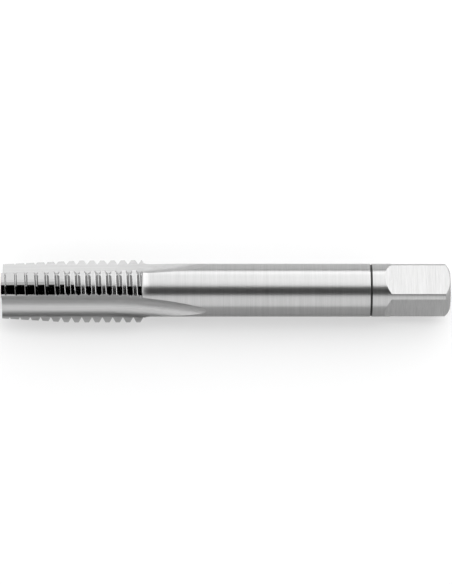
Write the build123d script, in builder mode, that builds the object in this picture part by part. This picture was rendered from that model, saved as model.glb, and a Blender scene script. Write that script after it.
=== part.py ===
from build123d import *
import os
from math import acos, asin, atan2, ceil, cos, degrees, hypot, radians, sin, sqrt, tan

# Hand tap, ground from one bar of high-speed steel. Millimetres and degrees.
# The tap lies along X with its tip at -X and its drive square at +X. The origin is on the
# ground under the middle of its length, and the shank rests on the ground.
# Stations are distances from the tip. Angles about the axis run from -Y over +Z.

# Blank
overall_length = 76.0
shank_d = 9.0
neck_length = 1.4
neck_step = 0.1
end_chamfer_length = 0.85
end_chamfer_depth = 1.3
end_chamfer_crown = 0.08

# Thread
crest_d = 10.95
pitch = 1.75
thread_angle = 60.0
crest_flat = 0.67
root_flat = 0.10
thread_length = 23.6
thread_end_slope = 62.0
thread_phase = 0.75
groove_gap = 20.0

# Lead taper, ground about an axis set off from the tap's, so that each land falls away
# behind its cutting edge
tip_d = 9.64
lead_length = 10.8
lead_relief = 0.20
lead_gap = 10.0

# Flutes
flute_count = 3
land_angle = 44.0
land_middle = 90.0
rake_angle = 1.0
core_d = 5.06
flute_bottom_r = 2.9
flute_full_depth_length = 16.7
wheel_r = 83.0

# Drive square
square_across_flats = 7.0
square_length = 10.0
square_slope = 41.0
square_turn = 15.8

# Ring round the shank, counted from the start of the square's flats
ring_setback = 3.4
ring_width = 0.52
ring_floor = 0.15
ring_depth = 0.16

# Centre holes of the grinding set-up
centre_pilot_d = 1.2
centre_mouth_d = 2.4
centre_depth = 2.6
centre_angle = 60.0

# Run of every cutter past the metal that it cuts
cutter_clearance = 0.5

# Derived sizes
shank_r = shank_d / 2
crest_r = crest_d / 2
core_r = core_d / 2
flank_slope = tan(radians(thread_angle / 2))
thread_depth = (pitch - crest_flat - root_flat) / (2 * flank_slope)
root_r = crest_r - thread_depth
neck_r = root_r + neck_step
neck_station = thread_length + (crest_r - neck_r) / tan(radians(thread_end_slope))
square_station = overall_length - square_length
ring_station = square_station - ring_setback
flute_angle = 360 / flute_count - land_angle
tip_x = -overall_length / 2
tip_centre = Vector(tip_x, 0, shank_r)


def radial(angle):
    """Unit vector square to the tap's axis, at an angle from -Y over +Z."""
    return Vector(0, -cos(radians(angle)), sin(radians(angle)))


def cross_plane(station, angle):
    """Plane square to the axis that faces the tip, with its x direction at an angle."""
    origin = (tip_x + station, 0, shank_r)
    return Plane(origin=origin, x_dir=radial(angle), z_dir=(-1, 0, 0))


def axial_plane(angle, shift=Vector()):
    """Plane through the axis, or one set off by shift: x is the station, y the radius at an angle."""
    return Plane(origin=tip_centre + shift, x_dir=(1, 0, 0), z_dir=radial(angle - 90))


# The turned blank, with its neck, ring and end chamfer. Its seam is in a flute.
with BuildPart() as blank:
    with BuildSketch(axial_plane(land_middle + 180 / flute_count)):
        with BuildLine():
            chamfer_start = (overall_length - end_chamfer_length, shank_r)
            chamfer_end = (overall_length, shank_r - end_chamfer_depth)
            Polyline(
                chamfer_end,
                (overall_length, 0),
                (0, 0),
                (0, crest_r),
                (thread_length, crest_r),
                (neck_station, neck_r),
                (neck_station + neck_length, shank_r),
                (ring_station - ring_width / 2, shank_r),
                (ring_station - ring_floor / 2, shank_r - ring_depth),
                (ring_station + ring_floor / 2, shank_r - ring_depth),
                (ring_station + ring_width / 2, shank_r),
                chamfer_start,
            )
            SagittaArc(chamfer_start, chamfer_end, -end_chamfer_crown)
        make_face()
    revolve(axis=Axis(tip_centre, (1, 0, 0)))


def lead_cutter(middle):
    """Ring sector that grinds the lead taper of the land whose middle is at an angle.

    Its own axis is set off ahead of the land, so the taper is full at the cutting edge.
    """
    shift = radial(middle + 90) * lead_relief
    half_land = radians(land_angle / 2)

    def ground_radius(edge_radius):
        """Radius about the shifted axis that leaves edge_radius at the cutting edge."""
        return hypot(edge_radius - lead_relief * sin(half_land), lead_relief * cos(half_land))

    slope = (crest_r - tip_d / 2) / lead_length
    clear_r = crest_r + 2 * lead_relief
    clear_station = (clear_r - tip_d / 2) / slope
    arc = 360 / flute_count - lead_gap
    with BuildPart() as cutter:
        with BuildSketch(axial_plane(middle + arc / 2, shift)):
            with BuildLine():
                Polyline(
                    (-cutter_clearance, ground_radius(tip_d / 2 - cutter_clearance * slope)),
                    (clear_station, ground_radius(clear_r)),
                    (-cutter_clearance, ground_radius(clear_r)),
                    close=True,
                )
            make_face()
        revolve(axis=Axis(tip_centre + shift, (1, 0, 0)), revolution_arc=arc)
    return cutter.part


# One cut of the thread groove across one land: a truncated V carried along a right-hand
# helix about X, from over +Z. Its ends are in the open flutes on both sides of the land.
groove_arc = 360 / flute_count - groove_gap
groove_top_r = crest_r + crest_flat / 4 / flank_slope
groove_top_width = pitch - crest_flat / 2

with BuildPart() as groove_cut:
    with BuildLine():
        groove_path = Helix(
            pitch=pitch,
            height=pitch * groove_arc / 360,
            radius=root_r,
            direction=(1, 0, 0),
        )
    with BuildSketch(Plane.XZ):
        with BuildLine():
            Polyline(
                (-root_flat / 2, root_r),
                (-groove_top_width / 2, groove_top_r),
                (groove_top_width / 2, groove_top_r),
                (root_flat / 2, root_r),
                close=True,
            )
        make_face()
    sweep(path=groove_path, is_frenet=True)


def groove_places():
    """Places of all the groove cuts, turn by turn on every land, from ahead of the tip.

    The last cuts die out on the neck's taper.
    """
    turns = ceil((neck_station + neck_length) / pitch) + 2
    places = []
    for land in range(flute_count):
        start_angle = land_middle + land * 360 / flute_count + groove_arc / 2
        start_station = thread_phase - pitch * (start_angle - land_middle) / 360
        for turn in range(turns):
            x = tip_x + start_station + (turn - 1) * pitch
            places.append(Location((x, 0, shank_r), (90 - start_angle, 0, 0)))
    return places


def flute_cutter(edge_angle):
    """Solid swept by the grinding wheel along one flute, from past the tip to its run-out.

    The section is drawn along the rake face, whose cutting edge is at edge_angle: a flat
    rake face, a round bottom on the core, and a flat wall up to the heel of the next land.
    """
    rake_offset = crest_r * sin(radians(rake_angle))
    bottom_y = flute_bottom_r - rake_offset
    bottom_x = sqrt((core_r + flute_bottom_r) ** 2 - bottom_y**2)
    bottom = Vector(bottom_x, bottom_y)
    heel_angle = radians(flute_angle - rake_angle)
    heel = Vector(crest_r * cos(heel_angle), crest_r * sin(heel_angle))
    to_bottom = bottom - heel
    wall_angle = atan2(to_bottom.Y, to_bottom.X) - asin(flute_bottom_r / to_bottom.length)
    wall = Vector(cos(wall_angle), sin(wall_angle))
    wall_end = bottom + Vector(wall.Y, -wall.X) * flute_bottom_r
    reach = crest_d
    wall_top = heel - wall * ((reach - heel.Y) / -wall.Y)
    infeed = bottom.normalized()

    section_plane = cross_plane(flute_full_depth_length, edge_angle + rake_angle)
    wheel_centre = infeed * (core_r + wheel_r)
    wheel_start = section_plane.from_local_coords(wheel_centre)
    wheel_end = section_plane.from_local_coords(wheel_centre + Vector(infeed.Y, -infeed.X))
    wheel_axis = Axis(wheel_start, wheel_end - wheel_start)
    lift = crest_r - core_r + cutter_clearance
    with BuildPart() as cutter:
        with BuildSketch(section_plane) as section:
            with BuildLine():
                Polyline((bottom_x, -rake_offset), (reach, -rake_offset), (reach, reach), wall_top, wall_end)
                ThreePointArc(wall_end, infeed * core_r, (bottom_x, -rake_offset))
            make_face()
        extrude(amount=flute_full_depth_length + cutter_clearance)
        revolve(
            section.sketch,
            axis=wheel_axis,
            revolution_arc=degrees(acos(1 - lift / wheel_r)),
        )
    return cutter.part


# Flats of the drive square, each with a sloped run-out into the shank
with BuildPart() as square_cutter:
    cut_top = shank_r + cutter_clearance
    cut_height = cut_top - square_across_flats / 2
    for side in range(4):
        with BuildSketch(axial_plane(square_turn + 90 * side)):
            with BuildLine():
                Polyline(
                    (square_station, square_across_flats / 2),
                    (overall_length + cutter_clearance, square_across_flats / 2),
                    (overall_length + cutter_clearance, cut_top),
                    (square_station - cut_height / tan(radians(square_slope)), cut_top),
                    close=True,
                )
            make_face()
        extrude(amount=shank_r, both=True)


# The finished tap
with BuildPart() as hand_tap:
    add(blank.part)
    for land in range(flute_count):
        middle = land_middle + land * 360 / flute_count
        add(lead_cutter(middle), mode=Mode.SUBTRACT)
        add(flute_cutter(middle + land_angle / 2), mode=Mode.SUBTRACT)
    with Locations(*groove_places()):
        add(groove_cut.part, mode=Mode.SUBTRACT)
    add(square_cutter.part, mode=Mode.SUBTRACT)
    end_planes = (cross_plane(0, 0), -cross_plane(overall_length, 0))
    with Locations(*end_planes):
        CounterSinkHole(
            radius=centre_pilot_d / 2,
            counter_sink_radius=centre_mouth_d / 2,
            depth=centre_depth,
            counter_sink_angle=centre_angle,
        )

hand_tap.part.label = "hand_tap"
os.makedirs("parts", exist_ok=True)
export_step(hand_tap.part, "parts/hand_tap.step")
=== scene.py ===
"""Hand tap: builds the ground tap, dresses it in tool steel and sets it in a plain studio.

The tap is worked as a maker works it. A blank is turned, and its thread, lead taper, flutes,
drive square and centre holes are then cut, each by a cutter of its own. Every cutter carries
the finish that its wheel leaves, and the cut faces take that finish over.

Lengths are millimetres on the workbench, with the tap's axis on the X axis and the middle of
its length at the origin. The finished piece is moved to its place in the frame, in metres.
Stations are distances from the tip. Angles about the axis run from -Y over +Z.
"""

import logging
import math
from dataclasses import dataclass, field
from enum import Enum
from typing import Sequence

import bpy
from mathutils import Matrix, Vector


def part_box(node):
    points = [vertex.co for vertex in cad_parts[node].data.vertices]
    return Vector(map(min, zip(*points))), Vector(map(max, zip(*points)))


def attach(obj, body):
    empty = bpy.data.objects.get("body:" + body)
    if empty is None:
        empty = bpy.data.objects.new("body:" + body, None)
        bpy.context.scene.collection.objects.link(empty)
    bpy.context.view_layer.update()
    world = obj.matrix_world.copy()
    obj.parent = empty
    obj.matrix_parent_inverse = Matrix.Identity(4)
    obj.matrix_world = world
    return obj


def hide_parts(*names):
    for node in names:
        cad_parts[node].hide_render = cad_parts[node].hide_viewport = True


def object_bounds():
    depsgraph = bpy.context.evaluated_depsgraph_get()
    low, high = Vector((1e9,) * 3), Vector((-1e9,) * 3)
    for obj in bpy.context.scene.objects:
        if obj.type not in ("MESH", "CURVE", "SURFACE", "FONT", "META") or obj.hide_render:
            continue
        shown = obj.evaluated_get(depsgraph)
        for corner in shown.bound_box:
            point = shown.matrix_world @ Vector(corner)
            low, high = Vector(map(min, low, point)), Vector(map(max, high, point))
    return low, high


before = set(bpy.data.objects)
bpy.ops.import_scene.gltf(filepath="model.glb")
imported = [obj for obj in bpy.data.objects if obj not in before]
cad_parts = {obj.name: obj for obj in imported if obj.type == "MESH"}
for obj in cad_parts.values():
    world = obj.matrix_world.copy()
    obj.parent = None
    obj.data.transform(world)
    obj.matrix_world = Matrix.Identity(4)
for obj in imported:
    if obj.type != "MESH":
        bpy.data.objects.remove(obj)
CAD_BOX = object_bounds()

LOG = logging.getLogger("hand_tap")

# Metres in a millimetre and in a micrometre
MM = 0.001
MICROMETRE = 0.000001

# The tap's axis, and the angle about it that +Z is at
ALONG_TAP = Vector((1.0, 0.0, 0.0))
TOP_ANGLE = 90.0

# Points closer than this, in the units that their outline is drawn in, are one point
MERGE_DISTANCE = 0.0001

# Edges flatter than this, in degrees, are smoothed over
SMOOTH_ANGLE = 8.0

WHITE = (1.0, 1.0, 1.0, 1.0)


# --- Workbench ---------------------------------------------------------------------------


def radial(angle: float) -> Vector:
    """Unit vector square to the tap's axis.

    Args:
        angle: Degrees from -Y over +Z.

    Returns:
        The vector in the YZ plane.
    """
    return Vector((0.0, -math.cos(math.radians(angle)), math.sin(math.radians(angle))))


def take_up(piece: bpy.types.Object) -> None:
    """Selects one piece alone and makes it active.

    Args:
        piece: The object to work on.
    """
    bpy.ops.object.select_all(action="DESELECT")
    piece.select_set(True)
    bpy.context.view_layer.objects.active = piece


def edit_all(piece: bpy.types.Object) -> None:
    """Opens a piece for editing, with the whole of it selected.

    Args:
        piece: The object to work on.
    """
    take_up(piece)
    bpy.ops.object.mode_set(mode="EDIT")
    bpy.ops.mesh.select_all(action="SELECT")


def lay_plane(name: str, size: float) -> bpy.types.Object:
    """Lays a square plane about the origin.

    Args:
        name: Name of the new object.
        size: Side of the square.

    Returns:
        The plane.
    """
    bpy.ops.object.select_all(action="DESELECT")
    bpy.ops.mesh.primitive_plane_add(size=size)
    plane = bpy.context.object
    plane.name = name
    return plane


def draw_outline(name: str, points: Sequence[Sequence[float]], closed: bool) -> bpy.types.Object:
    """Draws a wire outline by extruding one vertex from point to point.

    Args:
        name: Name of the new object.
        points: Corners of the outline, in order.
        closed: Whether the last corner joins the first.

    Returns:
        The wire object, left in object mode.
    """
    wire = lay_plane(name, 1.0)
    corners = [Vector(point) for point in points]
    if closed:
        corners.append(corners[0].copy())
    edit_all(wire)
    bpy.ops.mesh.merge(type="CENTER")
    bpy.ops.transform.translate(value=corners[0])
    for here, there in zip(corners, corners[1:]):
        bpy.ops.mesh.extrude_region_move(TRANSFORM_OT_translate={"value": there - here})
    bpy.ops.mesh.select_all(action="SELECT")
    bpy.ops.mesh.remove_doubles(threshold=MERGE_DISTANCE)
    bpy.ops.object.mode_set(mode="OBJECT")
    return wire


def close_up(piece: bpy.types.Object) -> None:
    """Merges doubled vertices, fills open ends and turns all faces outward.

    Args:
        piece: A mesh whose only openings are flat ends.
    """
    edit_all(piece)
    bpy.ops.mesh.remove_doubles(threshold=MERGE_DISTANCE)
    bpy.ops.mesh.select_all(action="SELECT")
    bpy.ops.mesh.fill_holes(sides=0)
    bpy.ops.mesh.select_all(action="SELECT")
    bpy.ops.mesh.normals_make_consistent(inside=False)
    bpy.ops.object.mode_set(mode="OBJECT")


def spin(piece: bpy.types.Object, centre: Vector, axis: Vector, angle: float, steps: int) -> None:
    """Spins a piece's outline about an axis.

    Args:
        piece: The wire object.
        centre: A point on the axis.
        axis: Direction of the axis.
        angle: Turn in degrees, anticlockwise seen against the axis.
        steps: Number of facets over the turn.
    """
    edit_all(piece)
    bpy.ops.mesh.spin(steps=steps, angle=math.radians(-angle), center=centre, axis=axis)
    bpy.ops.object.mode_set(mode="OBJECT")


def turn_to(piece: bpy.types.Object, angle: float) -> None:
    """Turns a piece that was made over +Z about the tap's axis.

    Args:
        piece: The object to turn.
        angle: Where its top goes, in degrees from -Y over +Z.
    """
    take_up(piece)
    piece.rotation_euler = (math.radians(TOP_ANGLE - angle), 0.0, 0.0)
    bpy.ops.object.transform_apply(location=False, rotation=True, scale=False)


def bow(share: float) -> float:
    """Height of a shallow bow, where 1 is its height in the middle.

    Args:
        share: Place along the bow, from 0 to 1.

    Returns:
        The height there.
    """
    return 4 * share * (1 - share)


def arc_points(centre: Vector, start: Vector, end: Vector, steps: int) -> list[Vector]:
    """Points of the shorter arc from start to end.

    Args:
        centre: Centre of the arc, in the plane of the outline.
        start: First point of the arc.
        end: Last point of the arc.
        steps: Number of chords.

    Returns:
        The points from start to end, both included.
    """
    first, last = start - centre, end - centre
    start_angle = math.atan2(first.y, first.x)
    sweep = math.remainder(math.atan2(last.y, last.x) - start_angle, math.tau)
    radius = first.length
    angles = [start_angle + sweep * step / steps for step in range(steps + 1)]
    return [centre + radius * Vector((math.cos(a), math.sin(a))) for a in angles]


# --- Finishes ----------------------------------------------------------------------------


class Grain(Enum):
    """Way in which a wheel's marks run on a surface, as marks per millimetre along X, Y and Z."""

    AROUND = (9.0, 0.12, 0.12)
    ALONG = (0.05, 8.0, 8.0)
    ACROSS = (7.0, 0.3, 0.3)


def grinding_marks() -> bpy.types.NodeTree:
    """Builds the node group of a wheel's marks, once.

    Fine marks and a share of broad ones are mixed, and their usual range is stretched to a
    swing from -1 to 1, which the two spreads then scale.

    Returns:
        The group. It puts out the streaked colour, roughness and height of ground steel.
    """
    name = "grinding_marks"
    fine_detail, fine_roughness = 3.0, 0.65
    broad_detail, broad_scale, broad_share = 2.0, 0.17, 0.25
    usual_low, usual_high = 0.35, 0.65
    if name in bpy.data.node_groups:
        return bpy.data.node_groups[name]
    tree = bpy.data.node_groups.new(name, "ShaderNodeTree")
    for label, kind in (
        ("Coordinates", "NodeSocketVector"),
        ("Marks per Metre", "NodeSocketVector"),
        ("Base Color", "NodeSocketColor"),
        ("Color Spread", "NodeSocketFloat"),
        ("Base Roughness", "NodeSocketFloat"),
        ("Roughness Spread", "NodeSocketFloat"),
    ):
        tree.interface.new_socket(label, in_out="INPUT", socket_type=kind)
    for label, kind in (
        ("Color", "NodeSocketColor"),
        ("Roughness", "NodeSocketFloat"),
        ("Height", "NodeSocketFloat"),
    ):
        tree.interface.new_socket(label, in_out="OUTPUT", socket_type=kind)
    node = tree.nodes.new
    link = tree.links.new
    entry = node("NodeGroupInput")
    leave = node("NodeGroupOutput")

    stretch = node("ShaderNodeVectorMath")
    stretch.operation = "MULTIPLY"
    link(entry.outputs["Coordinates"], stretch.inputs[0])
    link(entry.outputs["Marks per Metre"], stretch.inputs[1])
    fine = node("ShaderNodeTexNoise")
    fine.inputs["Scale"].default_value = 1.0
    fine.inputs["Detail"].default_value = fine_detail
    fine.inputs["Roughness"].default_value = fine_roughness
    link(stretch.outputs["Vector"], fine.inputs["Vector"])
    broad = node("ShaderNodeTexNoise")
    broad.inputs["Scale"].default_value = broad_scale
    broad.inputs["Detail"].default_value = broad_detail
    link(stretch.outputs["Vector"], broad.inputs["Vector"])
    both = node("ShaderNodeMix")
    both.data_type = "FLOAT"
    both.inputs["Factor"].default_value = broad_share
    link(fine.outputs["Fac"], both.inputs["A"])
    link(broad.outputs["Fac"], both.inputs["B"])
    swing = node("ShaderNodeMapRange")
    swing.clamp = False
    swing.inputs["From Min"].default_value = usual_low
    swing.inputs["From Max"].default_value = usual_high
    swing.inputs["To Min"].default_value = -1.0
    swing.inputs["To Max"].default_value = 1.0
    link(both.outputs["Result"], swing.inputs["Value"])

    shade = node("ShaderNodeMath")
    shade.operation = "MULTIPLY_ADD"
    shade.inputs[2].default_value = 1.0
    link(swing.outputs["Result"], shade.inputs[0])
    link(entry.outputs["Color Spread"], shade.inputs[1])
    tint = node("ShaderNodeVectorMath")
    tint.operation = "SCALE"
    link(entry.outputs["Base Color"], tint.inputs[0])
    link(shade.outputs["Value"], tint.inputs["Scale"])
    link(tint.outputs["Vector"], leave.inputs["Color"])

    rough = node("ShaderNodeMath")
    rough.operation = "MULTIPLY_ADD"
    link(swing.outputs["Result"], rough.inputs[0])
    link(entry.outputs["Roughness Spread"], rough.inputs[1])
    link(entry.outputs["Base Roughness"], rough.inputs[2])
    link(rough.outputs["Value"], leave.inputs["Roughness"])
    link(fine.outputs["Fac"], leave.inputs["Height"])
    return tree


@dataclass(frozen=True)
class GroundSteel:
    """Tool steel as one grinding wheel leaves it.

    Attributes:
        name: Name of the material.
        grain: Way in which the marks run.
        shade: Reflectance, linear.
        shade_spread: Share by which the marks vary the reflectance.
        roughness: Mean roughness.
        roughness_spread: Amount by which the marks vary the roughness.
        anisotropy: How much further the gloss spreads across the marks than along them.
        mark_depth: Depth of the marks in micrometres.
    """

    name: str
    grain: Grain
    shade: float
    shade_spread: float
    roughness: float
    roughness_spread: float
    anisotropy: float
    mark_depth: float

    def material(self) -> bpy.types.Material:
        """Builds the material, once.

        Returns:
            The material with its nodes.
        """
        if self.name in bpy.data.materials:
            return bpy.data.materials[self.name]
        made = bpy.data.materials.new(self.name)
        made.use_nodes = True
        tree = made.node_tree
        shader = tree.nodes["Principled BSDF"]
        shader.inputs["Metallic"].default_value = 1.0
        shader.inputs["Anisotropic"].default_value = self.anisotropy
        quarter_turn = 0.25
        shader.inputs["Anisotropic Rotation"].default_value = (
            0.0 if self.grain is Grain.ALONG else quarter_turn
        )
        marks = tree.nodes.new("ShaderNodeGroup")
        marks.node_tree = grinding_marks()
        marks.inputs["Marks per Metre"].default_value = [m / MM for m in self.grain.value]
        marks.inputs["Base Color"].default_value = (self.shade, self.shade, self.shade, 1.0)
        marks.inputs["Color Spread"].default_value = self.shade_spread
        marks.inputs["Base Roughness"].default_value = self.roughness
        marks.inputs["Roughness Spread"].default_value = self.roughness_spread
        place = tree.nodes.new("ShaderNodeTexCoord")
        tangent = tree.nodes.new("ShaderNodeTangent")
        tangent.direction_type = "RADIAL"
        tangent.axis = "X"
        relief = tree.nodes.new("ShaderNodeBump")
        relief.inputs["Strength"].default_value = 1.0
        relief.inputs["Distance"].default_value = self.mark_depth * MICROMETRE
        link = tree.links.new
        link(place.outputs["Object"], marks.inputs["Coordinates"])
        link(marks.outputs["Color"], shader.inputs["Base Color"])
        link(marks.outputs["Roughness"], shader.inputs["Roughness"])
        link(marks.outputs["Height"], relief.inputs["Height"])
        link(relief.outputs["Normal"], shader.inputs["Normal"])
        link(tangent.outputs["Tangent"], shader.inputs["Tangent"])
        return made


STEEL_SHADE = 0.47

SHANK_FINISH = GroundSteel(
    name="steel_ground_around",
    grain=Grain.AROUND,
    shade=STEEL_SHADE,
    shade_spread=0.09,
    roughness=0.297,
    roughness_spread=0.017,
    anisotropy=0.5,
    mark_depth=0.4,
)
CREST_FINISH = GroundSteel(
    name="steel_crest_ground",
    grain=Grain.AROUND,
    shade=STEEL_SHADE,
    shade_spread=0.03,
    roughness=0.22,
    roughness_spread=0.03,
    anisotropy=0.4,
    mark_depth=0.2,
)
THREAD_FINISH = GroundSteel(
    name="steel_thread_polished",
    grain=Grain.AROUND,
    shade=STEEL_SHADE * 1.04,
    shade_spread=0.02,
    roughness=0.07,
    roughness_spread=0.02,
    anisotropy=0.3,
    mark_depth=0.1,
)
FLUTE_FINISH = GroundSteel(
    name="steel_ground_along",
    grain=Grain.ALONG,
    shade=STEEL_SHADE * 1.09,
    shade_spread=0.12,
    roughness=0.34,
    roughness_spread=0.05,
    anisotropy=0.4,
    mark_depth=0.8,
)
FLAT_FINISH = GroundSteel(
    name="steel_ground_across",
    grain=Grain.ACROSS,
    shade=STEEL_SHADE * 1.18,
    shade_spread=0.13,
    roughness=0.55,
    roughness_spread=0.06,
    anisotropy=0.15,
    mark_depth=1.2,
)
END_FINISH = GroundSteel(
    name="steel_turned_end",
    grain=Grain.AROUND,
    shade=STEEL_SHADE * 0.9,
    shade_spread=0.08,
    roughness=0.36,
    roughness_spread=0.05,
    anisotropy=0.0,
    mark_depth=1.0,
)
# Near-black steel in the ring groove: painted shade that stands for the shade falling in the
# recess, not a finish of the steel.
RING_PAINTED_SHADE = GroundSteel(
    name="steel_ring_dark",
    grain=Grain.AROUND,
    shade=STEEL_SHADE * 0.12,
    shade_spread=0.1,
    roughness=0.45,
    roughness_spread=0.05,
    anisotropy=0.0,
    mark_depth=0.6,
)


# --- The tap -----------------------------------------------------------------------------


@dataclass
class TurnedBlank:
    """The turned blank, with its neck, ring and end chamfer. Millimetres and degrees.

    The steps and facets are counts of the chords that stand for a curve.
    """

    length: float = 76.0
    shank_d: float = 9.0
    crest_d: float = 10.95
    thread_length: float = 23.6
    thread_end_slope: float = 62.0
    neck_r: float = 4.726
    neck_length: float = 1.4
    neck_hollow: float = 0.07
    neck_steps: int = 10
    chamfer_length: float = 0.85
    chamfer_depth: float = 1.3
    chamfer_crown: float = 0.08
    chamfer_steps: int = 8
    ring_station: float = 62.6
    ring_width: float = 0.52
    ring_floor: float = 0.15
    ring_depth: float = 0.16
    ring_lip: float = 0.08
    ring_lip_drop: float = 0.012
    facets: int = 720

    @property
    def tip_x(self) -> float:
        """X of the tip's end face."""
        return -self.length / 2

    @property
    def shank_r(self) -> float:
        """Radius of the shank."""
        return self.shank_d / 2

    @property
    def crest_r(self) -> float:
        """Radius over the thread's crests."""
        return self.crest_d / 2

    @property
    def neck_station(self) -> float:
        """Station where the thread's run-out cone meets the neck."""
        slope = math.tan(math.radians(self.thread_end_slope))
        return self.thread_length + (self.crest_r - self.neck_r) / slope

    def chamfer(self) -> list[tuple[float, float]]:
        """Stations and radii of the crowned end chamfer.

        Returns:
            The points from the shank to the end face, both ends included.
        """
        points = []
        for step in range(self.chamfer_steps + 1):
            t = step / self.chamfer_steps
            crown = self.chamfer_crown * bow(t)
            width = math.hypot(self.chamfer_length, self.chamfer_depth)
            station = self.length - self.chamfer_length * (1 - t)
            radius = self.shank_r - self.chamfer_depth * t
            points.append(
                (
                    station + crown * self.chamfer_depth / width,
                    radius + crown * self.chamfer_length / width,
                )
            )
        return points

    def neck(self) -> list[tuple[float, float]]:
        """Stations and radii of the neck, hollow where the wheel ran out.

        Returns:
            The points from the thread's end to the shank, both ends included.
        """
        points = []
        for step in range(self.neck_steps + 1):
            t = step / self.neck_steps
            radius = self.neck_r + (self.shank_r - self.neck_r) * t
            hollow = self.neck_hollow * bow(t)
            points.append((self.neck_station + self.neck_length * t, radius - hollow))
        return points

    def build(self) -> bpy.types.Object:
        """Spins the blank from its half outline.

        Returns:
            The closed blank, with a finish on every zone and painted shade in the ring groove.
        """
        ring_top, ring_bottom = self.ring_width / 2, self.ring_floor / 2
        ring_wall = ring_top - self.ring_lip
        lip_r = self.shank_r - self.ring_lip_drop
        half = [
            (0.0, 0.0),
            (0.0, self.crest_r),
            (self.thread_length, self.crest_r),
            *self.neck(),
            (self.ring_station - ring_top, self.shank_r),
            (self.ring_station - ring_wall, lip_r),
            (self.ring_station - ring_bottom, self.shank_r - self.ring_depth),
            (self.ring_station + ring_bottom, self.shank_r - self.ring_depth),
            (self.ring_station + ring_wall, lip_r),
            (self.ring_station + ring_top, self.shank_r),
            *self.chamfer(),
            (self.length, 0.0),
        ]
        points = [(self.tip_x + station, 0.0, radius) for station, radius in half]
        blank = draw_outline("hand_tap_visual", points, closed=False)
        spin(blank, Vector(), ALONG_TAP, 360.0, self.facets)
        close_up(blank)
        self.dress(blank)
        return blank

    def finish_at(self, station: float) -> GroundSteel:
        """Finish of the blank's surface, or the painted shade of the ring groove.

        Args:
            station: Distance from the tip.

        Returns:
            The finish of the zone that the station is in.
        """
        if station < MERGE_DISTANCE or station > self.length - MERGE_DISTANCE:
            return END_FINISH
        if station < self.neck_station:
            return CREST_FINISH
        # The ring groove takes near-black steel, painted shade in the recess.
        if abs(station - self.ring_station) < self.ring_width / 2 - self.ring_lip:
            return RING_PAINTED_SHADE
        return SHANK_FINISH

    def dress(self, blank: bpy.types.Object) -> None:
        """Gives every zone of the blank its finish, and the ring groove its painted shade, by the
        station of its faces.

        Args:
            blank: The spun blank.
        """
        finishes = (SHANK_FINISH, CREST_FINISH, RING_PAINTED_SHADE, END_FINISH)
        for finish in finishes:
            blank.data.materials.append(finish.material())
        for face in blank.data.polygons:
            finish = self.finish_at(face.center.x - self.tip_x)
            face.material_index = finishes.index(finish)


@dataclass
class LeadTaper:
    """Cutters of the lead taper, one for each land. Millimetres and degrees.

    Each grinds about an axis set off ahead of its land, so the taper is full at the cutting
    edge and falls away behind it.
    """

    blank: TurnedBlank
    land_angle: float = 44.0
    tip_d: float = 9.64
    length: float = 10.8
    relief: float = 0.20
    arc: float = 110.0
    clearance: float = 0.5
    facets: int = 220

    def ground_radius(self, edge_radius: float) -> float:
        """Radius about the shifted axis that leaves edge_radius at the cutting edge.

        Args:
            edge_radius: Radius about the tap's axis at the edge.

        Returns:
            The radius about the shifted axis.
        """
        half_land = math.radians(self.land_angle / 2)
        return math.hypot(
            edge_radius - self.relief * math.sin(half_land), self.relief * math.cos(half_land)
        )

    def cone(self) -> tuple[float, float, float]:
        """The ground cone about the shifted axis.

        Returns:
            Its radius at the cutter's near end, its radius at the far end and the far station.
        """
        slope = (self.blank.crest_r - self.tip_d / 2) / self.length
        clear_r = self.blank.crest_r + 2 * self.relief
        clear_station = (clear_r - self.tip_d / 2) / slope
        near_r = self.ground_radius(self.tip_d / 2 - self.clearance * slope)
        return near_r, self.ground_radius(clear_r), clear_station

    def crest_radius(self, station: float, angle: float, middle: float) -> float:
        """Radius of a crest's top, on the lead taper or behind it.

        Args:
            station: Distance from the tip.
            angle: Angle about the axis.
            middle: Angle of the middle of the land that the crest is on.

        Returns:
            The radius about the tap's axis.
        """
        near_r, far_r, far_station = self.cone()
        share = (station + self.clearance) / (far_station + self.clearance)
        cone_r = near_r + (far_r - near_r) * share
        behind = math.radians(angle - middle)
        cross = self.relief * math.cos(behind)
        ground_r = self.relief * math.sin(behind) + math.sqrt(cone_r**2 - cross**2)
        return min(self.blank.crest_r, ground_r)

    def build(self, middle: float) -> bpy.types.Object:
        """Spins the cutter of one land.

        Args:
            middle: Angle of the land's middle.

        Returns:
            The closed cutter.
        """
        near_r, far_r, far_station = self.cone()
        shift = radial(middle + 90.0) * self.relief
        start = radial(middle - self.arc / 2)
        corners = (
            (-self.clearance, near_r),
            (far_station, far_r),
            (-self.clearance, far_r),
        )
        section = [
            Vector((self.blank.tip_x + station, 0.0, 0.0)) + shift + start * radius
            for station, radius in corners
        ]
        cutter = draw_outline("lead_cutter", section, closed=True)
        spin(cutter, shift, -ALONG_TAP, self.arc, self.facets)
        close_up(cutter)
        cutter.data.materials.append(THREAD_FINISH.material())
        return cutter


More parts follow.
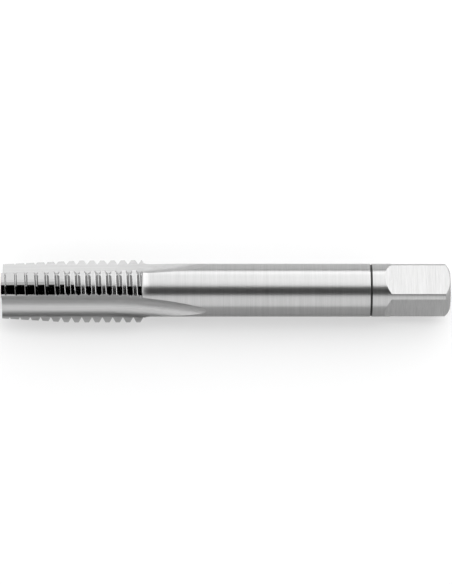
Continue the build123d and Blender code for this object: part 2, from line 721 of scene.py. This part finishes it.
@dataclass
class ThreadGroove:
    """Cutter of the thread's groove: a truncated V on a right-hand helix.

    Its shoulders break the crests' edges, on the lead taper too. Millimetres and degrees.

    Attributes:
        blank: The blank that is cut.
        lead: The lead taper, which lowers the crests near the tip.
        land_middles: Angles of the middles of the lands.
        pitch: Step of the thread.
        angle: Angle between its flanks.
        crest_flat: Width of a crest's top, before its edges are broken.
        root_flat: Width of the groove's bottom.
        phase: Station of the groove over +Z, at its first turn from the tip.
        edge_drop: Depth of the break on a crest's edges.
        edge_run: Width of that break.
        lead_edge_share: Smallest size of the break on the lead, as a share of the full one.
        lead_edge_fade: Height by which a crest is lowered where its break would have gone.
        clearance: Height of the cutter over the crests.
        spare_turns: Turns of the cutter past each end of the thread.
        facets: Chords in one turn.
    """

    blank: TurnedBlank
    lead: LeadTaper
    land_middles: list[float]
    pitch: float = 1.75
    angle: float = 60.0
    crest_flat: float = 0.67
    root_flat: float = 0.10
    phase: float = 0.75
    edge_drop: float = 0.03
    edge_run: float = 0.042
    lead_edge_share: float = 0.2
    lead_edge_fade: float = 0.3
    clearance: float = 0.3
    spare_turns: int = 2
    facets: int = 360

    @property
    def flank_slope(self) -> float:
        """Run of a flank along the axis for each millimetre of height."""
        return math.tan(math.radians(self.angle / 2))

    @property
    def root_r(self) -> float:
        """Radius of the thread's root."""
        height = (self.pitch - self.crest_flat - self.root_flat) / (2 * self.flank_slope)
        return self.blank.crest_r - height

    def shoulder(
        self, crest_r: float, share: float = 1.0
    ) -> tuple[tuple[float, float], tuple[float, float]]:
        """The two corners of a shoulder that breaks a crest's edge.

        Args:
            crest_r: Radius of the crest's top there.
            share: Size of the break, as a share of the full one.

        Returns:
            Half width and radius of the lower and of the upper corner.
        """
        drop, run = self.edge_drop * share, self.edge_run * share
        low_r = crest_r - drop
        low_half = self.root_flat / 2 + (low_r - self.root_r) * self.flank_slope
        return (low_half, low_r), (low_half + 2 * run, crest_r + drop)

    def settle(self, cutter: bpy.types.Object) -> None:
        """Moves the shoulders of the screwed cutter onto the crests of the lead taper.

        Args:
            cutter: The cutter, screwed for crests of full height.
        """
        plain = self.shoulder(self.blank.crest_r)
        for vertex in cutter.data.vertices:
            x, y, z = vertex.co
            radius = math.hypot(y, z)
            level = next((n for n in (0, 1) if abs(radius - plain[n][1]) < MERGE_DISTANCE), None)
            station = x - self.blank.tip_x
            if level is None or station > self.lead.length + self.pitch:
                continue
            angle = math.degrees(math.atan2(z, -y))
            middle = min(self.land_middles, key=lambda m: abs(math.remainder(angle - m, 360.0)))
            angle = middle + math.remainder(angle - middle, 360.0)
            turn = math.remainder(
                station - self.phase + self.pitch * (angle - TOP_ANGLE) / 360.0, self.pitch
            )
            crest_r = self.lead.crest_radius(max(station, 0.0), angle, middle)
            lowered = self.blank.crest_r - crest_r
            share = max(self.lead_edge_share, 1.0 - lowered / self.lead_edge_fade)
            half, level_r = self.shoulder(crest_r, share)[level]
            vertex.co.x = x - turn + math.copysign(half, turn)
            vertex.co.yz = vertex.co.yz * (level_r / radius)

    def build(self) -> bpy.types.Object:
        """Screws the groove's section along the thread.

        Returns:
            The closed cutter.
        """
        turns = math.ceil((self.blank.neck_station + self.blank.neck_length) / self.pitch)
        turns += 2 * self.spare_turns
        start = self.blank.tip_x + self.phase - self.spare_turns * self.pitch
        low, high = self.shoulder(self.blank.crest_r)
        top = (high[0], self.blank.crest_r + self.clearance)
        half = [(self.root_flat / 2, self.root_r), low, high, top]
        section = [(start - width, 0.0, radius) for width, radius in half]
        section += [(start + width, 0.0, radius) for width, radius in reversed(half)]
        cutter = draw_outline("thread_cutter", section, closed=True)
        screw = cutter.modifiers.new("Screw", "SCREW")
        screw.axis = "X"
        screw.angle = math.tau
        screw.screw_offset = self.pitch
        screw.iterations = turns
        screw.steps = screw.render_steps = self.facets
        take_up(cutter)
        bpy.ops.object.modifier_apply(modifier=screw.name)
        self.settle(cutter)
        close_up(cutter)
        cutter.data.materials.append(THREAD_FINISH.material())
        return cutter


@dataclass
class Flute:
    """Cutter of one flute: the path of the grinding wheel. Millimetres and degrees."""

    blank: TurnedBlank
    flute_angle: float = 76.0
    rake_angle: float = 1.0
    core_d: float = 5.06
    bottom_r: float = 2.9
    full_depth_length: float = 16.7
    wheel_r: float = 83.0
    clearance: float = 0.5
    bottom_steps: int = 36
    run_out_steps: int = 90

    def section(self) -> tuple[list[Vector], Vector]:
        """Section of the flute in the frame of its rake face.

        Returns:
            The corners, with x radial at the cutting edge, and the direction of the infeed.
        """
        crest_r, core_r = self.blank.crest_r, self.core_d / 2
        rake_offset = crest_r * math.sin(math.radians(self.rake_angle))
        bottom_y = self.bottom_r - rake_offset
        bottom = Vector((math.sqrt((core_r + self.bottom_r) ** 2 - bottom_y**2), bottom_y))
        heel_angle = math.radians(self.flute_angle - self.rake_angle)
        heel = Vector((crest_r * math.cos(heel_angle), crest_r * math.sin(heel_angle)))
        to_bottom = bottom - heel
        wall_angle = math.atan2(to_bottom.y, to_bottom.x) - math.asin(
            self.bottom_r / to_bottom.length
        )
        wall = Vector((math.cos(wall_angle), math.sin(wall_angle)))
        wall_end = bottom + Vector((wall.y, -wall.x)) * self.bottom_r
        reach = self.blank.crest_d
        wall_top = heel - wall * ((reach - heel.y) / -wall.y)
        infeed = bottom.normalized()
        lowest = infeed * core_r
        rake_end = Vector((bottom.x, -rake_offset))
        half_steps = self.bottom_steps // 2
        arc = arc_points(bottom, wall_end, lowest, half_steps)
        arc += arc_points(bottom, lowest, rake_end, half_steps)[1:]
        corners = [Vector((reach, -rake_offset)), Vector((reach, reach)), wall_top, *arc]
        return corners, infeed

    def build(self, edge_angle: float) -> bpy.types.Object:
        """Carries the section from past the tip to the run-out.

        Args:
            edge_angle: Angle of the cutting edge that the flute's rake face ends at.

        Returns:
            The closed cutter.
        """
        corners, infeed = self.section()
        face_angle = edge_angle + self.rake_angle
        along, across = radial(face_angle), radial(face_angle + 90.0)
        start_x = self.blank.tip_x - self.clearance
        full_x = self.blank.tip_x + self.full_depth_length
        outline = [Vector((start_x, 0.0, 0.0)) + along * c.x + across * c.y for c in corners]
        cutter = draw_outline("flute_cutter", outline, closed=True)

        core_r = self.core_d / 2
        wheel = infeed * (core_r + self.wheel_r)
        wheel_centre = Vector((full_x, 0.0, 0.0)) + along * wheel.x + across * wheel.y
        wheel_axis = along * infeed.y - across * infeed.x
        lift = self.blank.crest_r - core_r + self.clearance
        edit_all(cutter)
        run = Vector((full_x - start_x, 0.0, 0.0))
        bpy.ops.mesh.extrude_region_move(TRANSFORM_OT_translate={"value": run})
        bpy.ops.mesh.spin(
            steps=self.run_out_steps,
            angle=-math.acos(1 - lift / self.wheel_r),
            center=wheel_centre,
            axis=wheel_axis,
        )
        bpy.ops.object.mode_set(mode="OBJECT")
        close_up(cutter)
        cutter.data.materials.append(FLUTE_FINISH.material())
        return cutter


@dataclass
class DriveSquare:
    """Cutters of the square's flats, each with a sloped run-out. Millimetres and degrees."""

    blank: TurnedBlank
    across_flats: float = 7.0
    length: float = 10.0
    slope: float = 41.0
    turn: float = 15.8
    sides: int = 4
    clearance: float = 0.5

    def build(self, side: int) -> bpy.types.Object:
        """Extrudes the cutter of one flat.

        Args:
            side: Number of the flat, counted from 0.

        Returns:
            The closed cutter.
        """
        half = self.across_flats / 2
        top = self.blank.shank_r + self.clearance
        full_x = self.blank.tip_x + self.blank.length - self.length
        slope_x = full_x - (top - half) / math.tan(math.radians(self.slope))
        end_x = self.blank.tip_x + self.blank.length + self.clearance
        width = self.blank.shank_r
        outline = [
            (full_x, -width, half),
            (end_x, -width, half),
            (end_x, -width, top),
            (slope_x, -width, top),
        ]
        cutter = draw_outline("square_cutter", outline, closed=True)
        edit_all(cutter)
        bpy.ops.mesh.extrude_region_move(
            TRANSFORM_OT_translate={"value": Vector((0.0, 2 * width, 0.0))}
        )
        bpy.ops.object.mode_set(mode="OBJECT")
        close_up(cutter)
        turn_to(cutter, self.turn + 360.0 / self.sides * side)
        cutter.data.materials.append(FLAT_FINISH.material())
        return cutter


class End(Enum):
    """End of the tap, as the sign of X on that side."""

    TIP = -1
    SQUARE = 1


@dataclass
class CentreHole:
    """Cutter of a centre hole, a pilot bore with a coned mouth. Millimetres and degrees."""

    blank: TurnedBlank
    pilot_d: float = 1.2
    mouth_d: float = 2.4
    depth: float = 2.6
    angle: float = 60.0
    clearance: float = 0.2
    facets: int = 96

    def build(self, end: End) -> bpy.types.Object:
        """Spins the cutter of one end.

        Args:
            end: The end that the hole is in.

        Returns:
            The closed cutter.
        """
        slope = math.tan(math.radians(self.angle / 2))
        mouth_r, pilot_r = self.mouth_d / 2, self.pilot_d / 2
        half = (
            (-self.clearance, 0.0),
            (-self.clearance, mouth_r + self.clearance * slope),
            ((mouth_r - pilot_r) / slope, pilot_r),
            (self.depth, pilot_r),
            (self.depth, 0.0),
        )
        end_x = end.value * self.blank.length / 2
        points = [(end_x - end.value * depth, 0.0, radius) for depth, radius in half]
        cutter = draw_outline("centre_cutter", points, closed=False)
        spin(cutter, Vector(), ALONG_TAP, 360.0, self.facets)
        close_up(cutter)
        cutter.data.materials.append(END_FINISH.material())
        return cutter


@dataclass
class HandTap:
    """The whole tap: its blank and every cut, in the order in which a maker works them."""

    blank: TurnedBlank = field(default_factory=TurnedBlank)
    land_count: int = 3
    land_angle: float = 44.0
    land_middle: float = 90.0

    def cut(self, body: bpy.types.Object, cutter: bpy.types.Object) -> None:
        """Cuts the body with a cutter, which is then put away.

        Args:
            body: The tap.
            cutter: A closed mesh.
        """
        name = cutter.name
        step = body.modifiers.new(name, "BOOLEAN")
        step.operation = "DIFFERENCE"
        step.solver = "MANIFOLD"
        step.material_mode = "TRANSFER"
        step.object = cutter
        take_up(body)
        bpy.ops.object.modifier_apply(modifier=step.name)
        bpy.data.objects.remove(cutter)
        LOG.info("%s done, %d faces", name, len(body.data.polygons))

    def build(self) -> bpy.types.Object:
        """Builds the tap on the workbench.

        Returns:
            The finished mesh, in millimetres.
        """
        body = self.blank.build()
        middles = [self.land_middle + n * 360.0 / self.land_count for n in range(self.land_count)]
        lead = LeadTaper(self.blank, land_angle=self.land_angle)
        for middle in middles:
            self.cut(body, lead.build(middle))
        self.cut(body, ThreadGroove(self.blank, lead, middles).build())
        flute = Flute(self.blank, flute_angle=360.0 / self.land_count - self.land_angle)
        for middle in middles:
            self.cut(body, flute.build(middle + self.land_angle / 2))
        square = DriveSquare(self.blank)
        for side in range(square.sides):
            self.cut(body, square.build(side))
        centre_hole = CentreHole(self.blank)
        for end in End:
            self.cut(body, centre_hole.build(end))
        return body

    def lay_down(self, body: bpy.types.Object) -> None:
        """Moves the finished tap from the workbench to its place in the frame.

        Args:
            body: The tap, in millimetres about the origin.
        """
        low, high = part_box("hand_tap")
        take_up(body)
        bpy.ops.object.shade_smooth_by_angle(angle=math.radians(SMOOTH_ANGLE))
        body.scale = (MM, MM, MM)
        body.location = ((low.x + high.x) / 2, 0.0, self.blank.shank_r * MM)
        bpy.ops.object.transform_apply(location=True, rotation=False, scale=True)
        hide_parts("hand_tap")
        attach(body, "root")


# --- The studio --------------------------------------------------------------------------


def card_paint(
    name: str, brightness: float, rise: float = 0.0, reach: float = 0.35
) -> bpy.types.Material:
    """Paint of a studio card: an even glow, or one that rises along X.

    Args:
        name: Name of the material.
        brightness: Radiance at X = 0, where 1 is white.
        rise: Share by which the radiance grows for each metre along X.
        reach: Distance from X = 0, in metres, that the rise goes on for.

    Returns:
        The material.
    """
    paint = bpy.data.materials.new(name)
    paint.use_nodes = True
    tree = paint.node_tree
    tree.nodes.clear()
    place = tree.nodes.new("ShaderNodeTexCoord")
    split = tree.nodes.new("ShaderNodeSeparateXYZ")
    slope = tree.nodes.new("ShaderNodeMapRange")
    slope.inputs["From Min"].default_value = -reach
    slope.inputs["From Max"].default_value = reach
    slope.inputs["To Min"].default_value = brightness * (1.0 - rise * reach)
    slope.inputs["To Max"].default_value = brightness * (1.0 + rise * reach)
    glow = tree.nodes.new("ShaderNodeEmission")
    output = tree.nodes.new("ShaderNodeOutputMaterial")
    tree.links.new(place.outputs["Object"], split.inputs["Vector"])
    tree.links.new(split.outputs["X"], slope.inputs["Value"])
    tree.links.new(slope.outputs["Result"], glow.inputs["Strength"])
    tree.links.new(glow.outputs["Emission"], output.inputs["Surface"])
    return paint


def math_node(
    tree: bpy.types.NodeTree,
    operation: str,
    first: bpy.types.NodeSocket | float,
    second: bpy.types.NodeSocket | float,
) -> bpy.types.NodeSocket:
    """Adds a math node to a tree.

    Args:
        tree: The node tree.
        operation: Name of the operation.
        first: Socket or number of the first value.
        second: Socket or number of the second value.

    Returns:
        The result's socket.
    """
    step = tree.nodes.new("ShaderNodeMath")
    step.operation = operation
    for entry, value in zip(step.inputs, (first, second)):
        if isinstance(value, float):
            entry.default_value = value
        else:
            tree.links.new(value, entry)
    return step.outputs["Value"]


@dataclass
class BentCard:
    """A bent card round the X axis, lit or black. Metres and degrees.

    Attributes:
        name: Name of the card and of its paint.
        from_angle: Angle of its first straight edge, from -Y over +Z.
        to_angle: Angle of its last straight edge.
        brightness: Radiance at X = 0, where 1 is white.
        rise: Share by which the radiance grows for each metre along X.
        radius: Distance from the X axis.
        half_length: Half of its length along X.
        middle_x: X of its middle.
        steps: Chords between the two edges.
    """

    name: str
    from_angle: float
    to_angle: float
    brightness: float
    rise: float = 0.0
    radius: float = 0.85
    half_length: float = 1.2
    middle_x: float = 0.0
    steps: int = 24

    def build(self) -> bpy.types.Object:
        """Spins the card from one straight edge.

        Returns:
            The card, hidden from the camera.
        """
        start = radial(self.from_angle) * self.radius
        edge = [
            start + Vector((self.middle_x + side * self.half_length, 0.0, 0.0)) for side in (-1, 1)
        ]
        card = draw_outline(self.name, edge, closed=False)
        turn = self.to_angle - self.from_angle
        spin(card, Vector(), -ALONG_TAP, turn, self.steps)
        card.data.materials.append(card_paint(self.name, self.brightness, self.rise))
        card.visible_camera = False
        return card


@dataclass
class StandingCard:
    """A flat card that stands on the floor. Metres and degrees.

    Attributes:
        name: Name of the card and of its paint.
        place: X and Y of the middle of its foot.
        width: Width of the card.
        height: Height of the card.
        facing: Turn about Z from a card that stands along X.
        brightness: Radiance, where 1 is white.
    """

    name: str
    place: tuple[float, float]
    width: float
    height: float
    facing: float
    brightness: float

    def build(self) -> bpy.types.Object:
        """Stands up a plane.

        Returns:
            The card, hidden from the camera.
        """
        card = lay_plane(self.name, 1.0)
        card.scale = (self.width, self.height, 1.0)
        card.rotation_euler = (math.radians(90.0), 0.0, math.radians(self.facing))
        card.location = (self.place[0], self.place[1], self.height / 2)
        bpy.ops.object.transform_apply(location=True, rotation=True, scale=True)
        card.data.materials.append(card_paint(self.name, self.brightness))
        card.visible_camera = False
        return card


@dataclass
class Studio:
    """Light table with painted shade graded across it, even surround, lit and black cards, and the
    camera.

    Attributes:
        world_brightness: Radiance of the surround, where 1 is white.
        floor_front_painted_shade: Reflectance of the floor in front of the tap, darker as painted
            shade.
        floor_rear_painted_light: Reflectance of the floor behind the tap, lighter as painted
            light.
        floor_painted_shade_blend: Half width of the painted grading between the two, in metres.
        floor_white: Radiance of the open floor as the camera sees it.
        floor_light: Radiance that the studio would give a floor of full reflectance.
        floor_glow_power: How narrow the lobe is in which reflections see the floor's glow.
        floor_size: Side of the floor, in metres.
        lens: Focal length, in millimetres.
        sensor_width: Width of the sensor, in millimetres.
        clip: Nearest and farthest distance that the camera sees, in metres.
        distance: Distance from the camera to its aim, in metres.
        elevation: Height of the line of sight over the floor, in degrees.
        drop: How far the aim is under the tap's middle, as the camera sees it, in metres.
        cards: The cards round the tap.
    """

    world_brightness: float = 1.16
    # Painted shade on the floor: darker in front of the tap, lighter behind it.
    floor_front_painted_shade: float = 0.46
    floor_rear_painted_light: float = 0.74
    floor_painted_shade_blend: float = 0.022
    floor_white: float = 1.0
    floor_light: float = 1.10
    floor_glow_power: float = 16.0
    floor_size: float = 8.0
    lens: float = 231.2
    sensor_width: float = 36.0
    clip: tuple[float, float] = (0.01, 100.0)
    distance: float = 0.6373
    elevation: float = 75.3
    drop: float = 0.00031
    cards: tuple[BentCard | StandingCard, ...] = (
        BentCard("black_card_overhead", 53.1, 91.8, brightness=0.0, half_length=0.6),
        BentCard(
            "dim_card_left",
            91.8,
            103.0,
            brightness=0.85,
            radius=0.84,
            half_length=0.5,
            middle_x=-0.54,
        ),
        BentCard(
            "soft_card_left",
            103.0,
            113.0,
            brightness=1.25,
            radius=0.84,
            half_length=0.5,
            middle_x=-0.54,
        ),
        BentCard("light_card_behind", 91.8, 150.0, brightness=1.68, rise=0.95),
        BentCard("light_edge_behind", 150.0, 168.1, brightness=2.18, rise=0.95),
        BentCard("grey_card_behind", 168.1, 180.3, brightness=0.35),
        StandingCard("light_card_right", (0.8, 0.25), 0.9, 0.5, facing=90.0, brightness=2.7),
        StandingCard("light_card_left", (-0.8, 0.25), 0.9, 0.5, facing=90.0, brightness=2.3),
    )

    def floor_painted_shade(self, tree: bpy.types.NodeTree) -> bpy.types.NodeSocket:
        """Adds the nodes of the floor's painted shade: a reflectance graded from darker in front
        of the tap to lighter behind it, which stands for the shade in front and the light behind
        that reflections see.

        Args:
            tree: The tree of the floor's paint.

        Returns:
            The socket of the floor's reflectance.
        """
        place = tree.nodes.new("ShaderNodeTexCoord")
        split = tree.nodes.new("ShaderNodeSeparateXYZ")
        tree.links.new(place.outputs["Object"], split.inputs["Vector"])
        shade = tree.nodes.new("ShaderNodeMapRange")
        shade.interpolation_type = "SMOOTHSTEP"
        shade.inputs["From Min"].default_value = -self.floor_painted_shade_blend
        shade.inputs["From Max"].default_value = self.floor_painted_shade_blend
        shade.inputs["To Min"].default_value = self.floor_front_painted_shade
        shade.inputs["To Max"].default_value = self.floor_rear_painted_light
        tree.links.new(split.outputs["Y"], shade.inputs["Value"])
        return shade.outputs["Result"]

    def floor_seen(self, tree: bpy.types.NodeTree) -> bpy.types.NodeSocket:
        """Adds the nodes that say how much of the floor's glow a ray sees.

        The camera sees all of it, from any side. A reflection sees it in a lobe about the
        camera's line of sight, and a diffuse surface sees none.

        Args:
            tree: The tree of the floor's paint.

        Returns:
            The socket of the share that is seen.
        """
        path = tree.nodes.new("ShaderNodeLightPath").outputs
        mirrored = math_node(tree, "MAXIMUM", path["Is Glossy Ray"], path["Is Transmission Ray"])
        weight = tree.nodes.new("ShaderNodeLayerWeight")
        lean = tree.nodes.new("ShaderNodeCombineXYZ")
        lean.inputs["Y"].default_value = -math.cos(math.radians(self.elevation))
        lean.inputs["Z"].default_value = math.sin(math.radians(self.elevation))
        tree.links.new(lean.outputs["Vector"], weight.inputs["Normal"])
        square_on = math_node(tree, "SUBTRACT", 1.0, weight.outputs["Facing"])
        lobe = math_node(tree, "POWER", square_on, self.floor_glow_power)
        in_mirror = math_node(tree, "MULTIPLY", mirrored, lobe)
        return math_node(tree, "MAXIMUM", path["Is Camera Ray"], in_mirror)

    def build_floor(self) -> None:
        """Lays the floor, a light table whose glow makes up for what it lacks of white, with
        painted shade graded into its reflectance.
        """
        floor = lay_plane("floor", self.floor_size)
        paint = bpy.data.materials.new("floor_pale")
        paint.use_nodes = True
        tree = paint.node_tree
        shader = tree.nodes["Principled BSDF"]
        shader.inputs["Roughness"].default_value = 1.0
        shader.inputs["Specular IOR Level"].default_value = 0.0
        shader.inputs["Emission Color"].default_value = WHITE
        # Reflectance darker in front and lighter behind: painted shade and painted light that the
        # metal reflects.
        shade = self.floor_painted_shade(tree)
        tree.links.new(shade, shader.inputs["Base Color"])
        lit = math_node(tree, "MULTIPLY", shade, self.floor_light)
        missing = math_node(tree, "SUBTRACT", self.floor_white, lit)
        missing.node.use_clamp = True
        glow = math_node(tree, "MULTIPLY", missing, self.floor_seen(tree))
        tree.links.new(glow, shader.inputs["Emission Strength"])
        floor.data.materials.append(paint)

    def build_world(self) -> None:
        """Sets the even surround."""
        world = bpy.data.worlds.new("surround")
        world.use_nodes = True
        backdrop = world.node_tree.nodes["Background"]
        backdrop.inputs["Color"].default_value = WHITE
        backdrop.inputs["Strength"].default_value = self.world_brightness
        bpy.context.scene.world = world

    def build_camera(self) -> None:
        """Places the camera over the tap."""
        height = math.radians(self.elevation)
        back = Vector((0.0, -math.cos(height), math.sin(height)))
        up = Vector((0.0, math.sin(height), math.cos(height)))
        low, high = CAD_BOX
        middle = Vector(((low.x + high.x) / 2, 0.0, TurnedBlank().shank_r * MM))
        aim = middle - up * self.drop
        data = bpy.data.cameras.new("camera")
        data.lens = self.lens
        data.sensor_width = self.sensor_width
        data.clip_start, data.clip_end = self.clip
        camera = bpy.data.objects.new("camera", data)
        bpy.context.scene.collection.objects.link(camera)
        camera.location = aim + back * self.distance
        camera.rotation_euler = (-back).to_track_quat("-Z", "Y").to_euler()
        bpy.context.scene.camera = camera

    def build(self) -> None:
        """Sets up the whole studio."""
        self.build_floor()
        self.build_world()
        for card in self.cards:
            card.build()
        self.build_camera()
        bpy.context.scene.view_settings.view_transform = "Standard"


def main() -> None:
    """Builds the studio and the tap, and reports each piece."""
    logging.basicConfig(level=logging.INFO, format="%(name)s: %(message)s")
    Studio().build()
    LOG.info("studio ready")
    tap = HandTap()
    body = tap.build()
    tap.lay_down(body)
    LOG.info("%s: %d faces", body.name, len(body.data.polygons))


if __name__ == "__main__":
    main()
